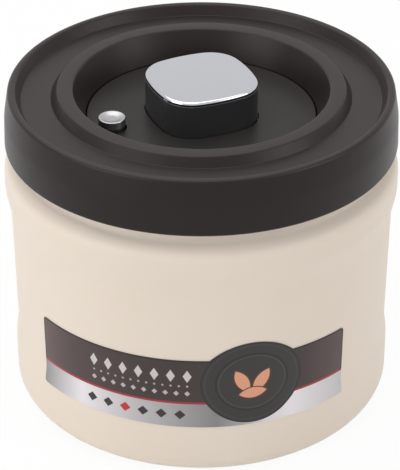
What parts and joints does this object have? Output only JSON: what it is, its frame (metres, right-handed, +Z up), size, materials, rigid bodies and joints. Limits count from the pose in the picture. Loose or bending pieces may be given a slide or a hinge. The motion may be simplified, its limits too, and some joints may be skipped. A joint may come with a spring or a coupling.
{
  "type": "vacuum seal canister",
  "caption": "Round painted-metal food canister with a dark press-on lid; a sprung rounded-square pump button draws air out and a small chrome button lets it back in.",
  "frame": {"origin": "centre of the foot, on the surface it stands on", "axes": "+Z up along the canister's axis, the label faces -Y, +X to the right of a viewer in front"},
  "size_m": [0.132, 0.132, 0.1151],
  "materials": {
    "pot_paint": "satin cream paint outside, bare steel inside",
    "label_print": "printed film",
    "lid_plastic": "satin dark brown-grey",
    "inner_plastic": "natural polypropylene",
    "silicone": "matt translucent white",
    "button_plastic": "gloss black",
    "chrome": "polished",
    "screw_steel": "zinc plated",
    "spring_steel": "drawn wire"
  },
  "bodies": {
    "canister": {"steel_pot": "pot_paint", "front_label": "label_print"},
    "lid": {"lid_cover": "lid_plastic", "deck_plate": "lid_plastic", "lid_base": "inner_plastic", "main_gasket": "silicone", "cover_screws": "screw_steel", "pump_cylinder": "inner_plastic", "cylinder_oring": "silicone", "inlet_valve": "silicone", "return_spring": "spring_steel", "release_spring": "spring_steel"},
    "pump": {"piston": "inner_plastic", "piston_seal": "silicone", "piston_screws": "screw_steel", "button_shell": "button_plastic", "button_plate": "chrome"},
    "release": {"release_cap": "chrome", "release_stem": "button_plastic", "release_plug": "silicone", "release_clip": "spring_steel"}
  },
  "joints": [
    {"name": "lid_lift", "type": "slide", "parent": "canister", "child": "lid", "axis": [0, 0, 1], "range_m": [0, 0.06]},
    {"name": "pump_press", "type": "slide", "parent": "lid", "child": "pump", "axis": [0, 0, -1], "range_m": [0, 0.01], "stiffness_N_per_m": 700, "springref_m": -0.01, "deforming": ["return_spring"]},
    {"name": "release_press", "type": "slide", "parent": "lid", "child": "release", "axis": [0, 0, -1], "range_m": [0, 0.0025], "stiffness_N_per_m": 600, "springref_m": -0.003, "deforming": ["release_spring"]}
  ]
}
